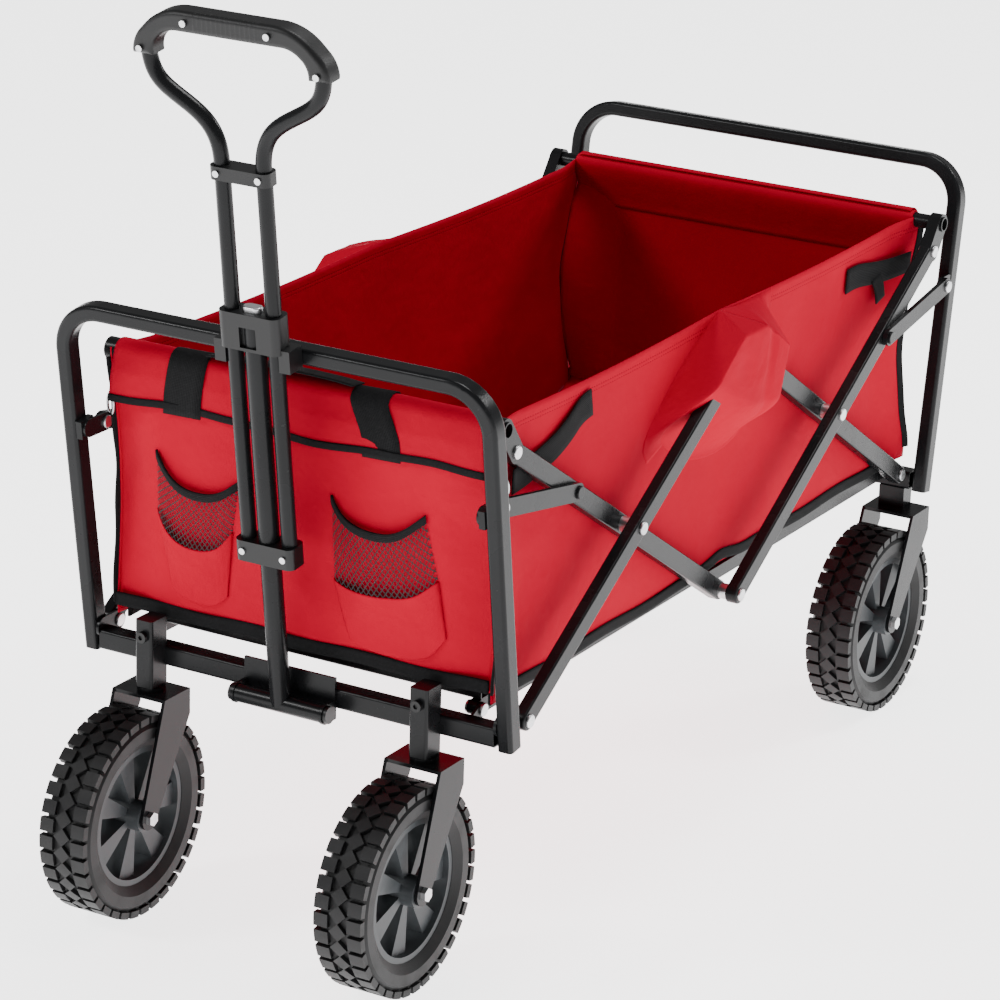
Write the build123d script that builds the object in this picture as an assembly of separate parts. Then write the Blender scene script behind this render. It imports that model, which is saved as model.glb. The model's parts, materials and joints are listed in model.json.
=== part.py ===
from build123d import *
import os
from math import sin, cos, tan, radians, degrees, atan2, hypot

# Folding camp wagon, millimetres, +Z up, the handle end faces -Y, width along X.
# Everything is laid out about the middle of the floor (x 0, y 0, ground z 0) and moved along Y
# at the end, so that the origin is at the bottom centre of the whole wagon.
os.makedirs("parts", exist_ok=True)

# ---- overall layout ------------------------------------------------------------------------
wheel_radius = 101.6
wheel_width = 51.0
fork_plate_z = 2 * wheel_radius + 11.8   # top of the fork plates, clear of the tyres
frame_half_width = 242.2          # outer face of the end frames
frame_foot_y = 457.2              # outer face of an end frame at its foot
frame_foot_z = fork_plate_z + 19.4
frame_height = 371.0              # along the leaning post, foot to the top of the top bar
frame_lean = 8.15                 # degrees outwards from the vertical
post_width = 16.0                 # along X
post_depth = 20.0                 # along Y
frame_corner_radius = 52.0
post_edge_radius = 4.0            # of the tube's own section
tube_wall = 1.5

# ---- scissor linkage on each side ----------------------------------------------------------
open_angle = 31.8                 # slope of every bar with the wagon open
inner_half = 255.0                # crossing pivot to the middle pivots
outer_half = 245.0                # crossing pivot to the end pivots
end_pivot_y = (inner_half + outer_half) * cos(radians(open_angle))
end_pivot_z = fork_plate_z + 42.5
crossing_y = inner_half * cos(radians(open_angle))
crossing_z = end_pivot_z + outer_half * sin(radians(open_angle))
lower_middle_z = crossing_z - inner_half * sin(radians(open_angle))
upper_middle_z = crossing_z + inner_half * sin(radians(open_angle))
upper_end_z = crossing_z + outer_half * sin(radians(open_angle))
bar_width = 20.0
bar_thickness = 13.0
outer_bar_x = frame_half_width - 7.2        # mid plane of the bars in the outer layer
inner_bar_x = outer_bar_x - bar_thickness - 9.0   # mid plane of the bars in the inner layer
rivet_radius = 4.0
rivet_head_radius = 6.5
rivet_head_height = 2.5
pin_clearance = 0.05
rest_gap = 0.3

# ---- short links between the posts and the long bars ---------------------------------------
link_pivot_reach = 115.0          # from the crossing pivot out along the bar
link_post_reach = 215.3           # from the end pivot up to the link's post pivot
link_post_lean = 7.9
link_length = 142.0
link_width = 18.0
link_thickness = 5.0

# ---- cross tubes ---------------------------------------------------------------------------
cross_tube_size = 20.0
cross_tube_z = fork_plate_z + 32.0
top_tube_radius = 8.0
top_tube_along = 30.0             # past the upper end pivot, along the bar
top_tube_above = 12.0             # and square to the bar

# ---- floor ---------------------------------------------------------------------------------
tub_half_width = inner_bar_x - bar_thickness / 2 - rivet_head_height - 1.0
rail_height = 14.0
rail_width = 10.0
rear_rail_x = tub_half_width - 9.0
front_rail_x = rear_rail_x - rail_width - 1.5   # the front rails run inside the rear ones
floor_tube_size = 14.0
floor_tube_y = 415.4
floor_cross_y = 88.0              # of the cross tube nearest the middle
cross_size = 10.0
mat_thickness = 9.0
mat_half_width = tub_half_width - 7.0
mat_inner_y = 76.0                # clear of the other half's rail tips as the floor folds

# ---- fabric tub ----------------------------------------------------------------------------
cloth = 2.0
tub_top_z = end_pivot_z + 288.5
tub_half_length = 430.0
wall_low = (444.0, end_pivot_z + 12.5)         # y and z of the end walls' outer face at the bottom
wall_high = (458.0, tub_top_z - 6.0)
wall_cloth = 3.0
webbing = 1.6
pleat_half_length = 75.0
pleat_x = outer_bar_x + bar_thickness / 2 + 6.5
pleat_low_z = tub_top_z - 106.0
pleat_top_z = tub_top_z + 11.0

# ---- wheels and forks ----------------------------------------------------------------------
caster_x = frame_half_width - 87.2
caster_y = 468.0
caster_trail = 46.4
fork_plate_length = 42.0
fork_gap = 55.0                   # between the two legs
fork_steel = 3.5
rear_wheel_x = frame_half_width - 33.2
rear_wheel_y = 383.5
rear_fork_y = 440.0
stem_radius = 5.5
axle_radius = 4.0
rim_radius = 70.0
hub_radius = 15.0
spokes = 7
tread_blocks = 36

# ---- handle --------------------------------------------------------------------------------
handle_pivot_y = 476.0
handle_pivot_z = fork_plate_z + 22.0
handle_lean = 7.6
sleeve_radius = 9.0
sleeve_half = 48.0
centre_tube_radius = 10.0
centre_tube_top = 392.0
slide_tube_radius = 7.5
slide_tube_x = 22.5
slide_fit = 0.06
slide_travel = 175.0
grip_half_width = 104.0
grip_top = 684.0

# the whole wagon's ends along Y, which set where the origin lies
front_end_y = caster_y + caster_trail + wheel_radius
rear_end_y = (
    frame_foot_y
    + (frame_height - post_edge_radius) * sin(radians(frame_lean))
    - post_edge_radius * cos(radians(frame_lean))
    + post_edge_radius
)
shift_y = (front_end_y - rear_end_y) / 2


def save(shape, name):
    """Moves a finished piece to the origin used by the whole wagon and writes it."""
    export_step(Pos(0, shift_y, 0) * shape, "parts/" + name + ".step")


def to_left(shape):
    return mirror(shape, about=Plane.YZ)


def to_rear(shape):
    return mirror(shape, about=Plane.XZ)


def box_at(x, y, z, dx, dy, dz):
    return Pos(x, y, z) * Box(dx, dy, dz)


def rod_x(x, y, z, radius, length):
    """A round rod along X with its middle at x, y, z."""
    return Pos(x, y, z) * Rot(0, 90, 0) * Cylinder(radius, length)


def bar_between(x, start, end, width, thickness):
    """A flat bar with round ends from one (y, z) pivot to another."""
    run = hypot(end[0] - start[0], end[1] - start[1])
    slope = degrees(atan2(end[1] - start[1], end[0] - start[0]))
    mid_y = (start[0] + end[0]) / 2
    mid_z = (start[1] + end[1]) / 2
    shape = extrude(SlotCenterToCenter(run, width), amount=thickness / 2, both=True)
    shape = Rot(0, 90, 0) * Rot(0, 0, 90) * shape
    return Pos(x, mid_y, mid_z) * Rot(slope, 0, 0) * shape


def hollow_bar(x, start, end, pivots):
    """A long bar: a thin-walled tube with solid round ends and a boss at each (y, z, radius) hole."""
    bar = bar_between(x, start, end, bar_width, bar_thickness)
    long_edges = [e for e in bar.edges().filter_by(GeomType.LINE) if e.length > 100]
    bar = fillet(long_edges, 2.0)
    run = hypot(end[0] - start[0], end[1] - start[1])
    slope = degrees(atan2(end[1] - start[1], end[0] - start[0]))
    direction = (cos(radians(slope)), sin(radians(slope)))
    stops = sorted(hypot(p[0] - start[0], p[1] - start[1]) for p in pivots)
    spans = [(a + 16, b - 16) for a, b in zip(stops, stops[1:]) if b - a > 60]
    for low, high in spans:
        mid = (low + high) / 2
        y = start[0] + direction[0] * mid
        z = start[1] + direction[1] * mid
        hollow = Pos(x, y, z) * Rot(slope, 0, 0) * Box(
            bar_thickness - 2 * tube_wall, high - low, bar_width - 2 * tube_wall
        )
        bar -= hollow
        drain = Pos(x, y, z) * Rot(slope, 0, 0) * Pos(0, 0, -bar_width / 2) * Cylinder(2, 8)
        bar -= drain
    for y, z, radius in pivots:
        bar -= rod_x(x, y, z, radius, 60)
    return bar


def rivet_head(x_low, x_high, y, z):
    """A rivet head on a face at x_low, its dome towards x_high, or the other way round."""
    head = rod_x((x_low + x_high) / 2, y, z, rivet_head_radius, abs(x_high - x_low))
    domed = head.edges().filter_by(GeomType.CIRCLE).sort_by(Axis.X)[-1 if x_high > x_low else 0]
    return fillet(domed, 1.2)


def rivet(x_low, x_high, y, z):
    """A rivet along X: its shank runs from x_low to x_high, with a domed head past each end."""
    shape = rod_x((x_low + x_high) / 2, y, z, rivet_radius, x_high - x_low)
    shape += rivet_head(x_high, x_high + rivet_head_height, y, z)
    shape += rivet_head(x_low, x_low - rivet_head_height, y, z)
    return shape


# ---- pivots of the front half, as (y, z) ----------------------------------------------------
end_pivot = (-end_pivot_y, end_pivot_z)
crossing = (-crossing_y, crossing_z)
lower_middle = (0.0, lower_middle_z)
upper_middle = (0.0, upper_middle_z)
upper_end = (-end_pivot_y, upper_end_z)
link_on_bar = (
    -crossing_y - link_pivot_reach * cos(radians(open_angle)),
    crossing_z + link_pivot_reach * sin(radians(open_angle)),
)
link_on_post = (
    -end_pivot_y - link_post_reach * sin(radians(link_post_lean)),
    end_pivot_z + link_post_reach * cos(radians(link_post_lean)),
)
top_tube = (
    upper_end[0] - top_tube_along * cos(radians(open_angle)) + top_tube_above * sin(radians(open_angle)),
    upper_end[1] + top_tube_along * sin(radians(open_angle)) + top_tube_above * cos(radians(open_angle)),
)


def flip(point):
    """The same pivot on the rear half."""
    return (-point[0],) + tuple(point[1:])


def tight(point):
    """A hole that grips its own rivet."""
    return (point[0], point[1], rivet_radius)


def loose(point):
    """A hole that turns on another body's rivet."""
    return (point[0], point[1], rivet_radius + pin_clearance)


# faces of the two bar layers and of the posts
inner_in = inner_bar_x - bar_thickness / 2
inner_out = inner_bar_x + bar_thickness / 2
outer_in = outer_bar_x - bar_thickness / 2
outer_out = outer_bar_x + bar_thickness / 2
post_in = frame_half_width - post_width
ear_steel = 3.0


def both_sides(shapes):
    """The given right-hand pieces and their left-hand twins, as separate solids."""
    return Compound([s for shape in shapes for s in shape.solids() + to_left(shape).solids()])


# ---- end frames ----------------------------------------------------------------------------
def lean_point(up, depth):
    """A point of the front frame: up along the post, and behind its outer face."""
    y = -frame_foot_y - up * sin(radians(frame_lean)) + depth * cos(radians(frame_lean))
    z = frame_foot_z + up * cos(radians(frame_lean)) + depth * sin(radians(frame_lean))
    return y, z


def post_centre_at(z):
    """The (y, z) point of the post's centre line at a height."""
    up = (z - lean_point(0, post_depth / 2)[1]) / cos(radians(frame_lean))
    return lean_point(up, post_depth / 2)


def bent_tube():
    """The hollow tube of one end: two posts and a top bar in one bend, as the front one."""
    post_x = frame_half_width - post_width / 2
    top = frame_height - post_width / 2
    path = FilletPolyline(
        (-post_x, 0, 0),
        (-post_x, 0, top),
        (post_x, 0, top),
        (post_x, 0, 0),
        radius=frame_corner_radius - post_width / 2,
    )
    foot = Plane(origin=(-post_x, 0, 0), x_dir=(1, 0, 0), z_dir=(0, 0, 1))
    tube = sweep(foot * RectangleRounded(post_width, post_depth, post_edge_radius), path=path)
    bore = RectangleRounded(
        post_width - 2 * tube_wall, post_depth - 2 * tube_wall, post_edge_radius - tube_wall
    )
    tube -= sweep(foot * bore, path=path)
    y, z = lean_point(0, post_depth / 2)
    return Pos(0, y, z) * Rot(frame_lean, 0, 0) * tube


def ear(x, root, pivot, width):
    """A steel ear in one vertical plane, from its weld to the pivot it carries."""
    shape = bar_between(x, root, pivot, width, ear_steel)
    return shape - rod_x(x, pivot[0], pivot[1], rivet_radius, 20)


hoop = bent_tube()

low_ear = ear(post_in - ear_steel / 2, post_centre_at(end_pivot_z), end_pivot, 20.0)
link_ear_x = inner_out - ear_steel / 2
high_root = post_centre_at(link_on_post[1])
high_ear = ear(link_ear_x, high_root, link_on_post, 18.0)
high_block = Pos((inner_out + post_in) / 2, *high_root) * Rot(frame_lean, 0, 0) * Box(
    post_in - inner_out, post_depth, 18
)
front_hoop = hoop
for shape in (low_ear, high_ear, high_block):
    front_hoop += shape
    front_hoop += to_left(shape)
save(front_hoop, "front_hoop")

# the rear link ear starts past the post's inner face, so it meets the tube's wall only
rear_ear_x = outer_out - ear_steel / 2
rear_root = (post_centre_at(link_on_post[1])[0] + post_depth / 2 + 3, link_on_post[1])
rear_ear = ear(rear_ear_x, rear_root, link_on_post, 18.0) - hoop
rear_ear = rear_ear.solids().sort_by(SortBy.VOLUME)[-1]
rear_hoop = hoop + rear_ear + to_left(rear_ear)
save(to_rear(rear_hoop), "rear_hoop")

# ---- beams between the feet ----------------------------------------------------------------
beam_y = post_centre_at(cross_tube_z)[0]
beam_length = 2 * (post_in - ear_steel)
beam = box_at(0, beam_y, cross_tube_z, beam_length, cross_tube_size, cross_tube_size)
beam = fillet(beam.edges().filter_by(Axis.X), 3.0)
beam_bore = box_at(
    0, beam_y, cross_tube_z, beam_length + 2, cross_tube_size - 2 * tube_wall, cross_tube_size - 2 * tube_wall
)

# welded to the front beam: a socket for each caster stem and an ear for each floor rail
socket_top = 288.0
socket_bottom = fork_plate_z + 4.0
stem_top = socket_top - 3.0
socket = box_at(caster_x, -caster_y, (socket_top + socket_bottom) / 2, 20, 27, socket_top - socket_bottom)
socket = fillet(socket.edges().filter_by(Axis.Z), 3.0)
front_rail_ear_x = front_rail_x + rail_width / 2 + 1.0 + ear_steel / 2
front_floor_ear = ear(front_rail_ear_x, (beam_y + 2, cross_tube_z + 1), end_pivot, rail_height)
front_beam = beam - beam_bore
for shape in (socket - beam_bore, front_floor_ear - beam_bore):
    front_beam += shape
    front_beam += to_left(shape)
stem_bore_length = stem_top + 1 - (socket_bottom - 1)
stem_bore = Pos(caster_x, -caster_y, (stem_top + socket_bottom) / 2) * Cylinder(
    stem_radius + pin_clearance, stem_bore_length
)
front_beam -= stem_bore
front_beam -= to_left(stem_bore)
save(front_beam.solids().sort_by(SortBy.VOLUME)[-1], "front_cross_tube")

rear_floor_ear_x = rear_rail_x + rail_width / 2 + 1.0 + ear_steel / 2
rear_floor_ear = ear(rear_floor_ear_x, (beam_y + 2, cross_tube_z + 1), end_pivot, rail_height)
rear_floor_ear -= beam_bore
rear_beam = beam - beam_bore + rear_floor_ear + to_left(rear_floor_ear)
save(to_rear(rear_beam.solids().sort_by(SortBy.VOLUME)[-1]), "rear_cross_tube")


def socket_bolt(x):
    """The clamp bolt's hexagon-socket head on a caster socket's front face."""
    face_y = -caster_y - 27 / 2
    head = Pos(x, face_y - 2.5, 272) * Rot(90, 0, 0) * Cylinder(5.5, 5)
    recess = Pos(x, face_y - 5, 272) * Rot(90, 0, 0) * extrude(RegularPolygon(2.6, 6), amount=2, both=True)
    return head - recess


save(Compound([socket_bolt(caster_x), socket_bolt(-caster_x)]), "socket_bolts")

# ---- scissor bars --------------------------------------------------------------------------
bar_a = hollow_bar(inner_bar_x, upper_end, lower_middle, [tight(upper_end), tight(crossing), tight(lower_middle)])
bar_b = hollow_bar(outer_bar_x, end_pivot, upper_middle, [loose(end_pivot), loose(crossing), tight(upper_middle)])
bar_c = hollow_bar(
    outer_bar_x,
    lower_middle,
    flip(upper_end),
    [loose(lower_middle), tight(flip(crossing)), tight(flip(upper_end))],
)
bar_d = hollow_bar(
    inner_bar_x,
    upper_middle,
    flip(end_pivot),
    [loose(upper_middle), loose(flip(crossing)), loose(flip(end_pivot))],
)


def top_horn(x, bar_end, tube):
    """The solid horn at a bar's upper end that holds the top tube."""
    horn = bar_between(x, bar_end, tube, 22.0, bar_thickness)
    horn -= rod_x(x, tube[0], tube[1], top_tube_radius, 60)
    return horn - rod_x(x, bar_end[0], bar_end[1], rivet_radius, 60)


bar_a += top_horn(inner_bar_x, upper_end, top_tube)
bar_c += top_horn(outer_bar_x, flip(upper_end), flip(top_tube))
for name, shape in (("bar_a", bar_a), ("bar_b", bar_b), ("bar_c", bar_c), ("bar_d", bar_d)):
    save(shape, name + "_right")
    save(to_left(shape), name + "_left")


def top_cross_tube(tube, half_length):
    """The round tube across the top of one end, inside the fabric's hem."""
    shape = rod_x(0, tube[0], tube[1], top_tube_radius, 2 * half_length)
    return shape - rod_x(0, tube[0], tube[1], top_tube_radius - tube_wall, 2 * half_length + 2)


save(top_cross_tube(top_tube, inner_out + 2), "top_tube_front")
save(top_cross_tube(flip(top_tube), outer_out + 2), "top_tube_rear")


def spaced_rivet(point, owner):
    """A rivet through both layers and its spacer; it grips the owner's layer only."""
    low = inner_in if owner == "inner" else inner_in - rest_gap
    high = outer_out if owner == "outer" else outer_out + rest_gap
    shape = rivet(low, high, *point)
    spacer_low = inner_out if owner == "inner" else inner_out + rest_gap
    spacer_high = outer_in if owner == "outer" else outer_in - rest_gap
    return shape + rod_x((spacer_low + spacer_high) / 2, *point, 8.0, spacer_high - spacer_low)


save(
    both_sides([
        rivet(inner_in, inner_out, *upper_end),
        spaced_rivet(crossing, "inner"),
        spaced_rivet(lower_middle, "inner"),
    ]),
    "rivets_a",
)
save(both_sides([spaced_rivet(upper_middle, "outer")]), "rivets_b")
save(
    both_sides([
        rivet(outer_in, outer_out, *flip(upper_end)),
        spaced_rivet(flip(crossing), "outer"),
    ]),
    "rivets_c",
)


# ---- short links ---------------------------------------------------------------------------
def short_link(face_x):
    """A link beside the layer whose outer face is at face_x, as on the front half.

    Its far end carries a rivet head only, so that it clears the bar while the wagon folds.
    """
    x = face_x + 0.5 + link_thickness / 2
    shape = bar_between(x, link_on_post, link_on_bar, link_width, link_thickness)
    shape -= rod_x(x, link_on_post[0], link_on_post[1], rivet_radius + pin_clearance, 20)
    outer_face = x + link_thickness / 2
    return shape + rivet_head(outer_face, outer_face + rivet_head_height, *link_on_bar)


front_link = short_link(inner_out)
rear_link = to_rear(short_link(outer_out))
save(front_link, "link_front_right")
save(to_left(front_link), "link_front_left")
save(rear_link, "link_rear_right")
save(to_left(rear_link), "link_rear_left")

# pivots carried by the end frames
front_rail_in = front_rail_x - rail_width / 2
rear_rail_in = rear_rail_x - rail_width / 2
link_stack = 0.5 + link_thickness + rest_gap
save(
    both_sides([
        rivet(post_in - ear_steel, outer_out + rest_gap, *end_pivot),
        rivet(inner_out - ear_steel, inner_out + link_stack, *link_on_post),
        rivet(front_rail_in - rest_gap, front_rail_ear_x + ear_steel / 2, *end_pivot),
    ]),
    "front_pivot_rivets",
)
save(
    both_sides([
        rivet(outer_out - ear_steel, outer_out + link_stack, *flip(link_on_post)),
        rivet(rear_rail_in - rest_gap, inner_out + rest_gap, *flip(end_pivot)),
    ]),
    "rear_pivot_rivets",
)


# ---- floor ---------------------------------------------------------------------------------
def floor_frame(rail_x):
    """One welded half of the floor frame, as the front half: two rails and three cross tubes."""
    rail = bar_between(rail_x, end_pivot, (0.0, end_pivot_z), rail_height, rail_width)
    rail -= rod_x(rail_x, end_pivot[0], end_pivot[1], rivet_radius + pin_clearance, 20)
    hollow_height = rail_height - 2 * tube_wall
    rail -= box_at(
        rail_x, -end_pivot_y / 2, end_pivot_z, rail_width - 2 * tube_wall, end_pivot_y - 36, hollow_height
    )
    rail -= Pos(rail_x, -end_pivot_y / 2, end_pivot_z - rail_height / 2) * Cylinder(2, 6)
    frame = rail + to_left(rail)
    span = 2 * (rail_x + rail_width / 2)
    tube_z = end_pivot_z + rail_height / 2 + floor_tube_size / 2
    end_tube = box_at(0, -floor_tube_y, tube_z, span, floor_tube_size, floor_tube_size)
    end_tube = fillet(end_tube.edges().filter_by(Axis.X), 3.0)
    bore_size = floor_tube_size - 2 * tube_wall
    frame += end_tube - box_at(0, -floor_tube_y, tube_z, span + 2, bore_size, bore_size)
    between_rails = 2 * (rail_x - rail_width / 2)
    for y in (-end_pivot_y * 0.5 - floor_cross_y * 0.5, -floor_cross_y):
        frame += box_at(0, y, end_pivot_z, between_rails, cross_size, cross_size)
        bore_size = cross_size - 2 * tube_wall
        frame -= box_at(0, y, end_pivot_z, between_rails + 4, bore_size, bore_size)
    return frame


front_floor = floor_frame(front_rail_x)
rear_floor = to_rear(floor_frame(rear_rail_x))
front_floor += both_sides([rivet_head(front_rail_in, front_rail_in - rivet_head_height, 0.0, end_pivot_z)])
save(front_floor, "floor_frame_front")
save(rear_floor, "floor_frame_rear")

floor_top_z = end_pivot_z + rail_height / 2
tub_floor_z = floor_top_z + rest_gap
mat_z = tub_floor_z + cloth + rest_gap
mat_start_y = floor_tube_y - floor_tube_size / 2 - 1.0


def mat_panel():
    """The stiff front part of the floor mat."""
    low_y, high_y = -mat_start_y, -mat_inner_y
    panel = box_at(
        0, (low_y + high_y) / 2, mat_z + mat_thickness / 2, 2 * mat_half_width, high_y - low_y, mat_thickness
    )
    panel = fillet(panel.edges().filter_by(Axis.Z), 12.0)
    return fillet(panel.edges().group_by(Axis.Z)[-1], 2.5)


save(mat_panel(), "mat_front")
save(to_rear(mat_panel()), "mat_rear")


# ---- fabric tub ----------------------------------------------------------------------------
def tub_sides():
    """Both long sides of the fabric tub, the floor cloth between them and the middle pleats."""
    length = 2 * tub_half_length
    height = tub_top_z - tub_floor_z
    side = box_at(tub_half_width - cloth / 2, 0, tub_floor_z + height / 2, cloth, length, height)
    bottom = box_at(
        0, 0, tub_floor_z + cloth / 2, 2 * tub_half_width, 2 * (mat_start_y - 1), cloth
    )
    roof = Polygon(
        (tub_half_width - cloth, tub_top_z - 2.5),
        (pleat_x, pleat_top_z),
        (pleat_x, pleat_low_z),
        (pleat_x - cloth, pleat_low_z),
        (pleat_x - cloth, pleat_top_z - 3),
        (tub_half_width - cloth, tub_top_z - 5.5),
        align=None,
    )
    pleat = extrude(Plane.XZ * roof, amount=pleat_half_length, both=True)
    return bottom + side + to_left(side) + pleat + to_left(pleat)


save(tub_sides(), "tub_sides")
wall_half_width = tub_half_width - cloth - rest_gap


def wall_slab(half_width, low, high, thickness, x=0.0, lift=0.0):
    """A slab following the end wall between two heights, standing out from its face by lift."""
    slope_y = (wall_high[0] - wall_low[0]) / (wall_high[1] - wall_low[1])
    low_y = -(wall_low[0] + slope_y * (low - wall_low[1])) - lift
    high_y = -(wall_low[0] + slope_y * (high - wall_low[1])) - lift
    outline = Polygon(
        (low_y, low), (high_y, high), (high_y + thickness, high), (low_y + thickness, low), align=None
    )
    return Pos(x, 0, 0) * extrude(Plane.YZ * outline, amount=half_width, both=True)


def end_wall():
    return wall_slab(wall_half_width, wall_low[1] + 9, wall_high[1] - 6, wall_cloth)


front_wall = end_wall()
# two upright webbing straps and the lower pocket bands, sewn to the front wall
for x in (-92.0, 108.0):
    front_wall += wall_slab(19.0, wall_low[1] + 216, wall_low[1] + 264, webbing, x, webbing)
for x in (-122.0, 104.0):
    front_wall += wall_slab(62.0, wall_low[1] + 30, wall_low[1] + 182, webbing, x, webbing)
save(front_wall, "front_wall")
save(to_rear(end_wall()), "rear_wall")


def hem(tube):
    """The fabric sleeve round a top tube, between the two bars that carry it."""
    shape = rod_x(0, tube[0], tube[1], top_tube_radius + 2.5, 2 * (inner_in - 1.5))
    return shape - rod_x(0, tube[0], tube[1], top_tube_radius + rest_gap, 600)


save(hem(top_tube), "hem_front")
save(hem(flip(top_tube)), "hem_rear")


# ---- wheels --------------------------------------------------------------------------------
def tyre():
    """A tyre about the X axis: plain side walls and staggered tread blocks."""
    half = wheel_width / 2
    base = wheel_radius - 4.0
    profile = Polygon(
        (-half + 6, rim_radius),
        (-half, rim_radius + 9),
        (-half, base - 8),
        (-half + 6, base),
        (half - 6, base),
        (half, base - 8),
        (half, rim_radius + 9),
        (half - 6, rim_radius),
        align=None,
    )
    ring = revolve(Plane.XY * profile, axis=Axis.X)
    pitch = 360 / tread_blocks
    blocks = []
    for number in range(tread_blocks):
        for x, turn, skew in ((-18.0, 0, 0), (0, 0.5, 45), (18.0, 0, 0)):
            size = (13, 13, 8) if skew else (15, 13.2, 8)
            block = Pos(x, 0, base + 1) * Rot(0, 0, skew) * Box(*size)
            blocks.append(Rot((number + turn) * pitch, 0, 0) * block)
    tread = Compound(blocks) & (Rot(0, 90, 0) * Cylinder(wheel_radius, wheel_width))
    return ring + tread


def rim():
    """A wheel about the X axis: barrel, spokes that widen outwards, and a hub with its bore."""
    barrel = Rot(0, 90, 0) * (Cylinder(rim_radius, 38) - Cylinder(rim_radius - 6, 40))
    shape = barrel + Rot(0, 90, 0) * Cylinder(hub_radius, fork_gap - 1.0)
    for number in range(spokes):
        wedge = Polygon((-3, 10), (3, 10), (13, rim_radius - 3), (-13, rim_radius - 3), align=None)
        spoke = Rot(0, 90, 0) * extrude(wedge, amount=13, both=True)
        shape += Rot(number * 360 / spokes, 0, 0) * spoke
    return shape - Rot(0, 90, 0) * Cylinder(axle_radius + pin_clearance, 100)


tyre_shape = tyre()
rim_shape = rim()
caster_axle_y = -(caster_y + caster_trail)
wheels = (
    ("front_left", -caster_x, caster_axle_y),
    ("front_right", caster_x, caster_axle_y),
    ("rear_left", -rear_wheel_x, rear_wheel_y),
    ("rear_right", rear_wheel_x, rear_wheel_y),
)
for name, x, y in wheels:
    save(Pos(x, y, wheel_radius) * tyre_shape, "tyre_" + name)
    save(Pos(x, y, wheel_radius) * rim_shape, "rim_" + name)


# ---- forks and axles -----------------------------------------------------------------------
def fork(plate_y, axle_y):
    """A steel fork about x 0: a top plate and two tapering legs down to the axle."""
    outer = fork_gap / 2 + fork_steel
    plate = box_at(0, plate_y, fork_plate_z - fork_steel / 2, 2 * outer, fork_plate_length, fork_steel)
    half = fork_plate_length / 2
    corners = Polyline(
        (plate_y - half, fork_plate_z),
        (plate_y + half, fork_plate_z),
        (plate_y + half, fork_plate_z - 26),
        (plate_y - half, fork_plate_z - 26),
        close=True,
    )
    foot = Pos(axle_y, wheel_radius) * CenterArc((0, 0), 12, 0, 360)
    outline = make_hull(corners.edges() + foot.edges())
    leg = Pos(outer - fork_steel / 2, 0, 0) * extrude(
        Plane.YZ * outline, amount=fork_steel / 2, both=True
    )
    shape = plate + leg + to_left(leg)
    return shape - rod_x(0, axle_y, wheel_radius, axle_radius, 100)


def axle():
    """A wheel bolt about the X axis with its head and nut."""
    outer = fork_gap / 2 + fork_steel
    shape = Rot(0, 90, 0) * Cylinder(axle_radius, 2 * outer)
    for side in (-1, 1):
        nut = extrude(RegularPolygon(7.0, 6), amount=2.5, both=True)
        shape += Pos(side * (outer + 2.5), 0, 0) * Rot(0, 90, 0) * nut
    return shape


caster = fork(-caster_y, caster_axle_y)
caster += Pos(0, -caster_y, fork_plate_z + 1.8) * Cylinder(14, 3.6)
stem_length = stem_top - 1 - fork_plate_z
caster += Pos(0, -caster_y, fork_plate_z + stem_length / 2) * Cylinder(stem_radius, stem_length)
save(Pos(-caster_x, 0, 0) * caster, "caster_fork_left")
save(Pos(caster_x, 0, 0) * caster, "caster_fork_right")
save(Pos(-caster_x, caster_axle_y, wheel_radius) * axle(), "caster_axle_left")
save(Pos(caster_x, caster_axle_y, wheel_radius) * axle(), "caster_axle_right")

neck_height = cross_tube_z - cross_tube_size / 2 - fork_plate_z
fixed_fork = fork(rear_fork_y, rear_wheel_y)
fixed_fork += box_at(-6, -beam_y, fork_plate_z + neck_height / 2, 30, 20, neck_height)
save(Pos(rear_wheel_x, 0, 0) * fixed_fork, "rear_fork_right")
save(to_left(Pos(rear_wheel_x, 0, 0) * fixed_fork), "rear_fork_left")
rear_axle = Pos(rear_wheel_x, rear_wheel_y, wheel_radius) * axle()
save(both_sides([rear_axle]), "rear_axles")


# ---- handle, laid out upright on its pivot and then leaned ----------------------------------
def handle_place(shape):
    return Pos(0, -handle_pivot_y, handle_pivot_z) * Rot(handle_lean, 0, 0) * shape


def handle_block(half_width, low, high, depth, corner):
    block = box_at(0, 0, (low + high) / 2, 2 * half_width, depth, high - low)
    return fillet(block.edges().filter_by(Axis.Z), corner)


sleeve = rod_x(0, 0, 0, sleeve_radius, 2 * sleeve_half)
centre_tube = Pos(0, 0, centre_tube_top / 2) * Cylinder(centre_tube_radius, centre_tube_top)
centre_bore = Pos(0, 0, centre_tube_top / 2 + 12) * Cylinder(
    centre_tube_radius - tube_wall, centre_tube_top
)
handle_tube = sleeve + centre_tube - centre_bore
handle_tube -= rod_x(0, 0, 0, axle_radius + pin_clearance, 200)
save(handle_place(handle_tube), "handle_tube")


def slide_path(side):
    """The centre line of one slide tube, from the collar up and out into the grip."""
    straight = Line((side * slide_tube_x, 0, 153), (side * slide_tube_x, 0, 543))
    bow = Spline(
        (side * slide_tube_x, 0, 543),
        (side * 37, 0, 582),
        (side * 78, 0, 609),
        (side * 93, 0, 652),
        tangents=((0, 0, 1), (0, 0, 1)),
    )
    return straight + bow


def slide_tube(side):
    start = Plane(origin=(side * slide_tube_x, 0, 153), x_dir=(1, 0, 0), z_dir=(0, 0, 1))
    outer = sweep(start * Circle(slide_tube_radius), path=slide_path(side))
    return outer - sweep(start * Circle(slide_tube_radius - tube_wall), path=slide_path(side))


def slide_solid(side, fit=0.0):
    """The straight stretch of a slide tube as a plain rod, for cutting its seats."""
    return Pos(side * slide_tube_x, 0, 350) * Cylinder(slide_tube_radius + fit, 700)


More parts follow.
